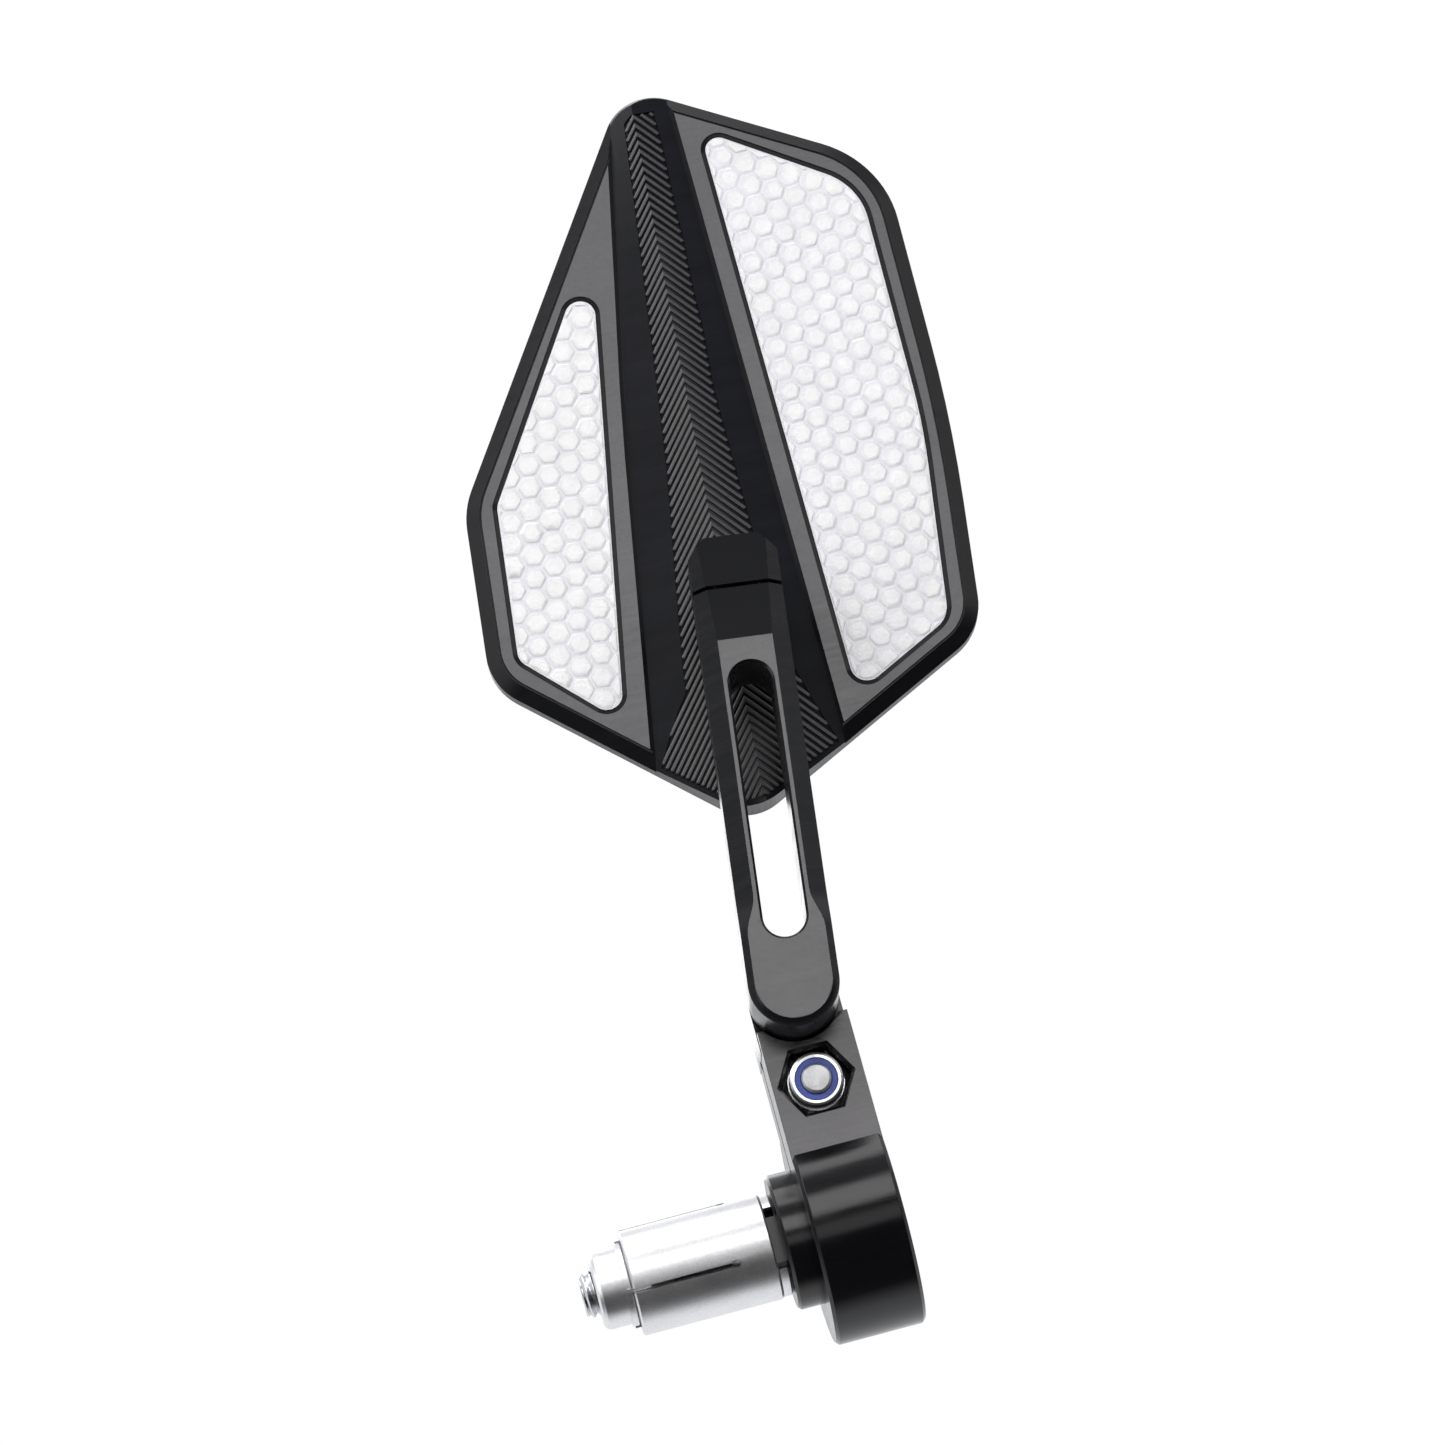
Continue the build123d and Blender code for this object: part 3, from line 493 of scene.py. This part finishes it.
def honeycomb(name, win, lean_deg, pitch, core, shift, body="head"):
    """Pillow-shaped sealed cells on the film, each a small closed solid."""
    w = round_poly(win, 0.16, 10)
    cx = sum(p[0] for p in w) / len(w)
    cz = sum(p[1] for p in w) / len(w)
    R = pitch / math.sqrt(3)              # corner radius; columns are side by side
    full = 1.5 * math.sqrt(3) * (R - 0.2) ** 2
    ca, sa = math.cos(math.radians(lean_deg)), math.sin(math.radians(lean_deg))
    verts, faces, flank = [], [], set()
    for i in range(-24, 25):
        for j in range(-32, 33):
            u = i * R * 1.5
            v = (j + (0.5 if i % 2 else 0.0)) * pitch
            X, Z = cx + u * ca + v * sa, cz - u * sa + v * ca
            hexa = []
            for k in range(6):
                t = math.radians(60 * k)
                du, dv = R * math.cos(t), R * math.sin(t)
                hexa.append((X + du * ca + dv * sa, Z - du * sa + dv * ca))
            area = sum(hexa[q][0] * hexa[(q + 1) % 6][1] - hexa[(q + 1) % 6][0] * hexa[q][1] for q in range(6))
            if area < 0:
                hexa.reverse()
            poly = dedupe(clip(hexa, w))
            if len(poly) < 3:
                continue
            base = dedupe(inset_convex(poly, random.uniform(0.13, 0.24)))
            if len(base) < 3:
                continue
            ar = 0.5 * abs(sum(base[q][0] * base[(q + 1) % len(base)][1] - base[(q + 1) % len(base)][0] * base[q][1] for q in range(len(base))))
            if ar < 0.25:
                continue
            mx = sum(p[0] for p in base) / len(base)
            mz = sum(p[1] for p in base) / len(base)
            tilt = (random.uniform(-1.6, 1.6), random.uniform(-1.6, 1.6))
            offx, offz = shift[0] + random.uniform(-0.55, 0.55), shift[1] + random.uniform(-0.5, 0.5)
            fc = random.uniform(*core)
            if ar < 0.80 * full:
                offx, offz, fc = 0.0, 0.0, max(fc, 0.80)
            jit = [random.uniform(0.86, 1.10) for q in base]
            lift = random.uniform(0.6, 1.05)
            # chamfered corners, so that a cell reads as rounded
            rings = []
            for (f0, y, cut) in ((1.0, 0.05, 0.10), (1.0, -0.02, 0.10), (0.95, -0.055, 0.10), (fc, -0.112, 0.12), (fc * 0.5, -0.128, 0.14)):
                ring = []
                nb = len(base)
                for q in range(nb):
                    p, a, c = base[q], base[q - 1], base[(q + 1) % nb]
                    f = f0 * jit[q] if f0 < 0.9 else f0
                    for other, tt in ((a, cut), (c, cut)):
                        L = math.hypot(other[0] - p[0], other[1] - p[1])
                        tt = min(tt, 0.45)
                        x = p[0] + (other[0] - p[0]) * tt
                        z = p[1] + (other[1] - p[1]) * tt
                        px, pz = mx + offx * (1 - f) + (x - mx) * f, mz + offz * (1 - f) + (z - mz) * f
                        nv = mnoise.noise(Vector((px * 0.55, pz * 0.55, 3.0)))
                        nw = mnoise.noise(Vector((px * 1.7, pz * 1.7, 9.0)))
                        if y > 0:
                            yy = FILM_Y + y
                        else:
                            yy = FILM_Y + y * lift + (1 - f) * 0.010 * (tilt[0] * (x - mx) + tilt[1] * (z - mz)) - 0.035 * nv * (1.2 - f) - 0.02 * nw * (1.1 - f)
                        ring.append((px, max(yy, -5.70), pz))
                rings.append(ring)
            n = len(rings[0])
            base_i = len(verts)
            for ring in rings:
                verts += [(p[0] + DX, p[1], p[2]) for p in ring]
            top = len(verts)
            verts.append((mx + offx * 0.9 + DX, max(FILM_Y - 0.130 * lift, -5.70), mz + offz * 0.9))
            faces.append([base_i + q for q in range(n)])
            for s in range(len(rings) - 1):
                for q in range(n):
                    a_ = base_i + s * n + q
                    b_ = base_i + s * n + (q + 1) % n
                    if s == 2:
                        flank.add(len(faces))
                    faces.append([a_, a_ + n, b_ + n, b_])
            s0 = base_i + (len(rings) - 1) * n
            for q in range(n):
                faces.append([s0 + q, top, s0 + (q + 1) % n])
    o = mesh_obj(name, [(x * MM, y * MM, z * MM) for x, y, z in verts], faces)
    fix_normals(o.data)
    paint(o, m_cell, m_flank)
    # flank faces take the darker copy of the film, painted shade on the cell sides
    for p in o.data.polygons:
        p.use_smooth = True
        p.material_index = 1 if p.index in flank else 0
    try:
        o.data.set_sharp_from_angle(angle=math.radians(50))
    except Exception:
        pass
    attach(o, body)
    return o


def lerp_line(line, z):
    if z >= line[0][1]:
        line = [line[0], line[1]]
    elif z <= line[-1][1]:
        line = [line[-2], line[-1]]
    else:
        for (x1, z1), (x2, z2) in zip(line, line[1:]):
            if z2 <= z <= z1:
                return x1 + (x2 - x1) * (z - z1) / (z2 - z1)
    (x1, z1), (x2, z2) = line
    return x1 + (x2 - x1) * (z - z1) / (z2 - z1)


CHANNEL_L = [(25.56, 215.0), (12.36, 151.39), (10.10, 139.18), (-3.69, 60.0)]
CHANNEL_R = [(33.46, 215.0), (32.73, 60.0)]
RIB_R = [(30.66, 200.75), (30.6, 193.9), (29.9, 183.2), (29.6, 175.4), (28.9, 166.3), (28.7, 159.0), (27.6, 147.1),
         (27.4, 123.8), (27.5, 110.0), (27.8, 95.0), (29.6, 88.0), (32.0, 80.0), (34.0, 70.0)]
RIB_L = [(24.9, 199.4), (22.0, 178.4), (18.4, 152.9), (15.9, 135.6), (11.8, 113.5), (9.3, 99.3), (8.7, 95.2),
         (6.3, 92.0), (4.2, 88.7), (1.0, 83.0), (-3.0, 76.0)]


def apex(z):
    t = (z - 60.0) / 155.0
    return 15.61 + 12.45 * t, -8.42 + 2.27 * t


def facet_y(x, z):
    ax, ay = apex(z)
    l, r = lerp_line(CHANNEL_L, z), lerp_line(CHANNEL_R, z)
    if x < ax:
        k = (ax - x) / (ax - l)
    else:
        k = (x - ax) / (r - ax)
    k = min(k, 1.0)
    y = ay + (-5.0 - ay) * k
    return y


def inside(poly, x, z):
    """Signed distance-like test: least distance to the convex outline, negative outside."""
    d = 1e9
    n = len(poly)
    for i in range(n):
        x1, z1 = poly[i]
        x2, z2 = poly[(i + 1) % n]
        L = math.hypot(x2 - x1, z2 - z1)
        if L < 1e-6:
            continue
        d = min(d, ((x2 - x1) * (z - z1) - (z2 - z1) * (x - x1)) / L)
    return d


def chord(poly, z):
    """Left and right x of a convex outline at height z, or None."""
    xs = []
    n = len(poly)
    for i in range(n):
        (x1, z1), (x2, z2) = poly[i], poly[(i + 1) % n]
        if (z1 - z) * (z2 - z) <= 0 and abs(z1 - z2) > 1e-9:
            xs.append(x1 + (x2 - x1) * (z - z1) / (z2 - z1))
    return (min(xs), max(xs)) if len(xs) >= 2 else None


RIM_TOP, RIM_FOOT, RIB_DEPTH = 2.75, 0.75, 0.40


def rib_limits(z):
    c = chord(OUT_TOP if z > 112 else OUT_FOOT, z)
    if c is None:
        return None
    l, r = max(lerp_line(RIB_L, z), c[0]), min(lerp_line(RIB_R, z), c[1])
    ax = apex(z)[0]
    return (l, r) if l < ax - 0.15 and r > ax + 0.15 else None


OUT_TOP = round_poly(OUTLINE, RIM_TOP, 16)
OUT_FOOT = round_poly(OUTLINE, RIM_FOOT, 16)


def rib_recess():
    """The sunk band that the ridges stand in, cut parallel to the two facets."""
    verts, faces = [], []
    zs = [z / 4.0 for z in range(276, 812)]
    zs = [z for z in zs if rib_limits(z)]
    for z in zs:
        l, r = rib_limits(z)
        ax, ay = apex(z)
        for x, dy in ((l, RIB_DEPTH), (ax, RIB_DEPTH), (r, RIB_DEPTH), (r, -1.2), (ax, -1.2), (l, -1.2)):
            xin = min(max(x, l), r)
            verts.append(((x + DX) * MM, (facet_y(xin, z) + dy) * MM, z * MM))
    n = len(zs)
    for i in range(n - 1):
        for q in range(6):
            a_, b_ = i * 6 + q, i * 6 + (q + 1) % 6
            faces.append([a_, b_, b_ + 6, a_ + 6])
    faces.append([0, 1, 2, 3, 4, 5])
    faces.append([(n - 1) * 6 + q for q in (5, 4, 3, 2, 1, 0)])
    return mesh_obj("tmp_recess", verts, faces)


def ridges():
    """Chevron ridges with rounded tops and ends."""
    verts, faces = [], []
    pitch = 1.685
    ang = math.radians(49.5)
    PROF = [(0.375, RIB_DEPTH + 0.03), (0.350, 0.20), (0.315, 0.09), (0.235, 0.02), (0.12, -0.015)]
    K = len(PROF) * 2
    z = 204.0
    while z > 60.0:
        ax, ay = apex(z)
        S = []
        ok = {}
        for sgn in (-1, 1):
            dx, dz = sgn * math.cos(ang), -math.sin(ang)
            s, s_in, s_out = 0.0, None, None
            while s < 70:
                x, zz = ax + dx * s, z + dz * s
                lim = rib_limits(zz)
                good = lim is not None and lim[0] <= x <= lim[1]
                if good and s_in is None:
                    s_in = s
                if s_in is not None and not good:
                    s_out = s
                    break
                s += 0.04
            if s_in is None:
                ok[sgn] = None
            else:
                ok[sgn] = (s_in, (s_out or s) - 0.30)
        for sgn in (-1, 1):
            if ok[sgn] is None or ok[sgn][1] - ok[sgn][0] < 0.6:
                continue
            s0, s1 = ok[sgn]
            st = [(s1 - 0.30, 1.0, 0.0), (s1 - 0.10, 0.9, 0.05), (s1 + 0.03, 0.7, 0.16), (s1 + 0.10, 0.4, 0.32)]
            head_st = [(-1.0, 1.0, 0.0)] if s0 == 0.0 else [(s0 + 0.25, 0.5, 0.3), (s0 + 0.40, 1.0, 0.0)]
            rows = head_st + st
            base_i = len(verts)
            for (s, wf, sink) in rows:
                prof = [(w, d, 1) for w, d in PROF] + [(w, d, -1) for w, d in reversed(PROF)]
                for w, d, q in prof:
                    w = w * wf
                    dd = d if d > 0.3 else d + sink
                    if s < 0:
                        x, zz = ax, z + q * w / math.cos(ang)
                    else:
                        dx, dz = sgn * math.cos(ang), -math.sin(ang)
                        nx, nz = -sgn * dz, sgn * dx
                        if nz < 0:
                            nx, nz = -nx, -nz
                        x, zz = ax + dx * s + nx * q * w, z + dz * s + nz * q * w
                    verts.append((x, facet_y(x, zz) + dd, zz))
            m = len(rows)
            for a_ in range(m - 1):
                for q in range(K):
                    i0 = base_i + a_ * K + q
                    i1 = base_i + a_ * K + (q + 1) % K
                    faces.append([i0, i1, i1 + K, i0 + K])
            faces.append([base_i + q for q in range(K)])
            faces.append([base_i + (m - 1) * K + q for q in reversed(range(K))])
        z -= pitch
    o = mesh_obj("tmp_ridges", [((x + DX) * MM, y * MM, zz * MM) for x, y, zz in verts], faces)
    fix_normals(o.data)
    return o


head = carve("head_shell", rib_recess(), "head_shell_ribbed", "head", 0.12, 32)
n_head = len(head.data.polygons)
rd = ridges()
bm = bmesh.new()
bm.from_mesh(head.data)
bm.faces.ensure_lookup_table()
bm.from_mesh(rd.data)
bm.to_mesh(head.data)
bm.free()
bpy.data.objects.remove(rd)


def helix_cutter(x0, x1, r, pitch, depth, name, axis="X", cy=0.0, cz=0.0, cx=0.0, seg=40):
    """Closed V-section helical groove cutter about an axis along X or Y."""
    turns = abs(x1 - x0) / pitch
    n = int(turns * seg)
    verts, faces = [], []
    w = pitch * 0.47
    for i in range(n + 1):
        t = i / n
        a = 2 * math.pi * turns * t
        x = x0 + (x1 - x0) * t
        for (dx_, rr) in ((-w, r + 0.06), (w, r + 0.06), (0.06, r - depth), (-0.06, r - depth)):
            if axis == "X":
                verts.append(((x + dx_) * MM, (cy + rr * math.cos(a)) * MM, (cz + rr * math.sin(a)) * MM))
            else:
                verts.append(((cx + rr * math.cos(a)) * MM, (x + dx_) * MM, (cz + rr * math.sin(a)) * MM))
    for i in range(n):
        for q in range(4):
            a0, a1 = i * 4 + q, i * 4 + (q + 1) % 4
            faces.append([a0, a1, a1 + 4, a0 + 4])
    faces.append([0, 1, 2, 3])
    faces.append([n * 4 + q for q in (3, 2, 1, 0)])
    return mesh_obj(name, verts, faces)


cutb = helix_cutter(-36.0 + DX, -27.5 + DX, 4.0, 1.25, 0.62, "tmp_thread")
xbolt = carve("expander_bolt", cutb, "expander_bolt_threaded", "expander_bolt", 0.1)
cutc = helix_cutter(-17.2, -13.6, 3.0, 1.0, 0.5, "tmp_thread2", axis="Y", cx=12.0 + DX, cz=22.5)
cbolt = carve("clamp_bolt", cutc, "clamp_bolt_threaded", "clamp", 0.06)

hc_r = honeycomb("reflector_right_cells", WIN_RIGHT, 0.0, 4.12, (0.64, 0.80), (0.75, 0.15))
hc_l = honeycomb("reflector_left_cells", WIN_LEFT, 11.3, 4.12, (0.80, 0.90), (0.1, 0.1))

# ---------------------------------------------------------------- materials on
# head: milled plates with a grey base colour that is painted sheen from the front light, dark facets, ribs with a
# lighter base colour that is painted sheen, blasted rim
paint(head, m_black, m_face, m_facet, m_rib)
for i, p in enumerate(head.data.polygons):
    c = p.center / MM
    x = c.x - DX
    idx = 0
    if i >= n_head:
        idx = 3
    elif p.normal.y < -0.999 and -5.85 < c.y < -5.55:
        idx = 1
    elif lerp_line(CHANNEL_L, c.z) - 0.3 < x < lerp_line(CHANNEL_R, c.z) + 0.3 and c.y < -4.3:
        idx = 2
    p.material_index = idx
for p in head.data.polygons:
    p.use_smooth = p.material_index in (0, 3)
head.data.set_sharp_from_angle(angle=math.radians(25))
even_normals(head)

SKIP_BEVEL = {"glass_foam_pad", "reflector_adhesive_left", "reflector_adhesive_right", "reflector_left", "reflector_right"}
MATS = {
    "bar_end_hub": m_turned, "outer_cone": m_alu, "expansion_sleeve": m_alu, "expander_bolt_washer": m_zinc, "cone_nut": m_alu,
    "clamp_bolt_washer": m_zinc, "lock_nut": m_zinc, "lock_nut_nylon_ring": m_blue,
    "cap_screws": m_bolt_black, "pivot_bolt": m_bolt_black, "pivot_spring_washer": m_zinc,
    "pivot_friction_washer": m_nylon, "ball_liner": m_nylon, "ball_stud": m_steel, "stud_screw": m_bolt_black,
    "glass_foam_pad": m_foam, "mirror_glass": m_mirror, "reflector_left": m_seam, "reflector_right": m_seam,
    "reflector_adhesive_left": m_glue, "reflector_adhesive_right": m_glue,
}
WIDTH = {"clamp_bracket": 0.35, "arm": 0.3, "ball_clamp_cap": 0.3, "bar_end_hub": 0.2, "expansion_sleeve": 0.18, "cone_nut": 0.2,
         "outer_cone": 0.15, "lock_nut": 0.15, "mirror_glass": 0.15}
for node, m in MATS.items():
    o = find(node)
    paint(o, m)
    if node not in SKIP_BEVEL:
        bevel(o, WIDTH.get(node, 0.12))
paint(xbolt, m_zinc)
paint(cbolt, m_bolt_end)

for o in (xbolt, cbolt):
    for p in o.data.polygons:
        p.use_smooth = True
    o.data.set_sharp_from_angle(angle=math.radians(28))
    even_normals(o)

# arm, cap and bracket: milled faces given a lighter base colour than the bevels and bores, a painted sheen where they
# face the front light
arm = copy_piece("arm", "arm_body", "arm", 0.22)
cap = copy_piece("ball_clamp_cap", "ball_clamp_cap_body", "arm", 0.22)
brk = copy_piece("clamp_bracket", "clamp_bracket_body", "clamp", 0.12)
for o in (arm, cap, brk):
    paint(o, m_bevel if o is not brk else m_ring, m_armface if o is not brk else m_neck, m_slope)
    for p in o.data.polygons:
        c = p.center / MM
        flat = p.normal.y < -0.9995
        if o is arm:
            p.material_index = 1 if flat and c.y < -25.5 else (2 if p.normal.y < -0.88 and c.z > 80 else 0)
        elif o is cap:
            p.material_index = 2 if p.normal.y < -0.88 else 0
        else:
            # the bracket's front neck face takes the neck copy with painted sheen and painted shade by height
            p.material_index = 1 if flat and c.y < -14.9 and c.z > 11.5 else 0
        p.use_smooth = True
    o.data.set_sharp_from_angle(angle=math.radians(28))
    even_normals(o)

# ------------------------------------------------------------------- stage
cam_data = bpy.data.cameras.new("camera")
cam = bpy.data.objects.new("camera", cam_data)
scn.collection.objects.link(cam)
cam_data.sensor_width = 36.0
cam_data.lens = 4890.0 / 1445.0 * 36.0
cam_data.clip_start = 0.05
cam_data.clip_end = 30.0
az, el, roll = math.radians(-4.0), math.radians(-15.75), math.radians(15.5)
r0 = Vector((math.cos(az), math.sin(az), 0))
fw = Vector((-math.sin(az) * math.cos(el), math.cos(az) * math.cos(el), -math.sin(el)))
u0 = r0.cross(fw)
right = r0 * math.cos(roll) - u0 * math.sin(roll)
up = r0 * math.sin(roll) + u0 * math.cos(roll)
M = Matrix((right, up, -fw)).transposed().to_4x4()
M.translation = Vector(((-42.72 + DX) * MM, -808.79 * MM, -138.52 * MM))
cam.matrix_world = M
scn.camera = cam

fl = mesh_obj("floor", [(0.55 * math.cos(t * math.pi / 64), 0.55 * math.sin(t * math.pi / 64) + 0.12, -0.32) for t in range(128)], [list(range(128))])
mf, nt, b, tc = new_mat("floor_white")
nf = noise(nt, mapping(nt, tc, (1, 1, 1)).outputs[0], 3.0, 2.0)
nt.links.new(ramp_col(nt, nf, (0.80, 0.80, 0.80), (0.84, 0.84, 0.84)), b.inputs["Base Color"])
b.inputs["Roughness"].default_value = 0.9
fl.data.materials.append(mf)
fl.visible_glossy = False

world = bpy.data.worlds.new("studio")
scn.world = world
world.use_nodes = True
nt = world.node_tree
for n in list(nt.nodes):
    nt.nodes.remove(n)
wo = nt.nodes.new("ShaderNodeOutputWorld")
bg1 = nt.nodes.new("ShaderNodeBackground")
bg2 = nt.nodes.new("ShaderNodeBackground")
mix = nt.nodes.new("ShaderNodeMixShader")
lp = nt.nodes.new("ShaderNodeLightPath")
wt = nt.nodes.new("ShaderNodeTexCoord")
sx = nt.nodes.new("ShaderNodeSeparateXYZ")
nt.links.new(wt.outputs["Generated"], sx.inputs[0])
back = remap(nt, sx.outputs["Y"], 0.0, 1.0, -0.12, 0.25)
back = mathn(nt, "MULTIPLY", back, remap(nt, sx.outputs["Z"], 1.0, 0.62, 0.05, 0.8))
front = remap(nt, sx.outputs["Z"], 0.02, 0.40, -0.05, 0.75)
keep = mathn(nt, "SUBTRACT", 1.0, back, True)
nt.links.new(mathn(nt, "ADD", back, mathn(nt, "MULTIPLY", front, keep)), bg1.inputs["Strength"])
bg1.inputs["Color"].default_value = (0.97, 0.98, 1.0, 1)
bg2.inputs["Color"].default_value = (1, 1, 1, 1)
bg2.inputs["Strength"].default_value = 1.0
nt.links.new(lp.outputs["Is Camera Ray"], mix.inputs[0])
nt.links.new(bg1.outputs[0], mix.inputs[1])
nt.links.new(bg2.outputs[0], mix.inputs[2])
nt.links.new(mix.outputs[0], wo.inputs[0])


def area(name, direction, dist, size, radiance, target=(0.022, 0.0, 0.12), size_y=None, color=(1, 1, 1)):
    d = Vector(direction).normalized()
    l = bpy.data.lights.new(name, "AREA")
    l.shape = "RECTANGLE"
    l.size = size
    l.size_y = size_y or size
    l.energy = radiance * math.pi * l.size * l.size_y
    l.color = color
    o = bpy.data.objects.new(name, l)
    scn.collection.objects.link(o)
    t = Vector(target)
    o.location = t + d * dist
    o.rotation_euler = (-d).to_track_quat("-Z", "Y").to_euler()
    return o


area("key_front", (0.05, -0.96, 0.255), 1.3, 0.54, 3.4, size_y=0.52)
area("low_front", (0.05, -0.95, -0.22), 1.25, 0.6, 0.95, size_y=0.30)
area("film_fill", (-0.60, -0.60, 0.62), 1.2, 0.6, 4.6)
area("side_left", (-0.86, -0.42, 0.05), 1.2, 0.4, 2.4, size_y=0.9)
area("side_right", (0.85, -0.35, 0.25), 1.2, 0.5, 1.8, size_y=0.9)
area("top", (0.1, -0.30, 1.0), 1.2, 0.9, 3.2)
area("back", (-0.3, 0.9, 0.5), 1.3, 0.9, 1.2)

try:
    scn.view_settings.view_transform = "Standard"
    scn.view_settings.look = "None"
except Exception:
    pass
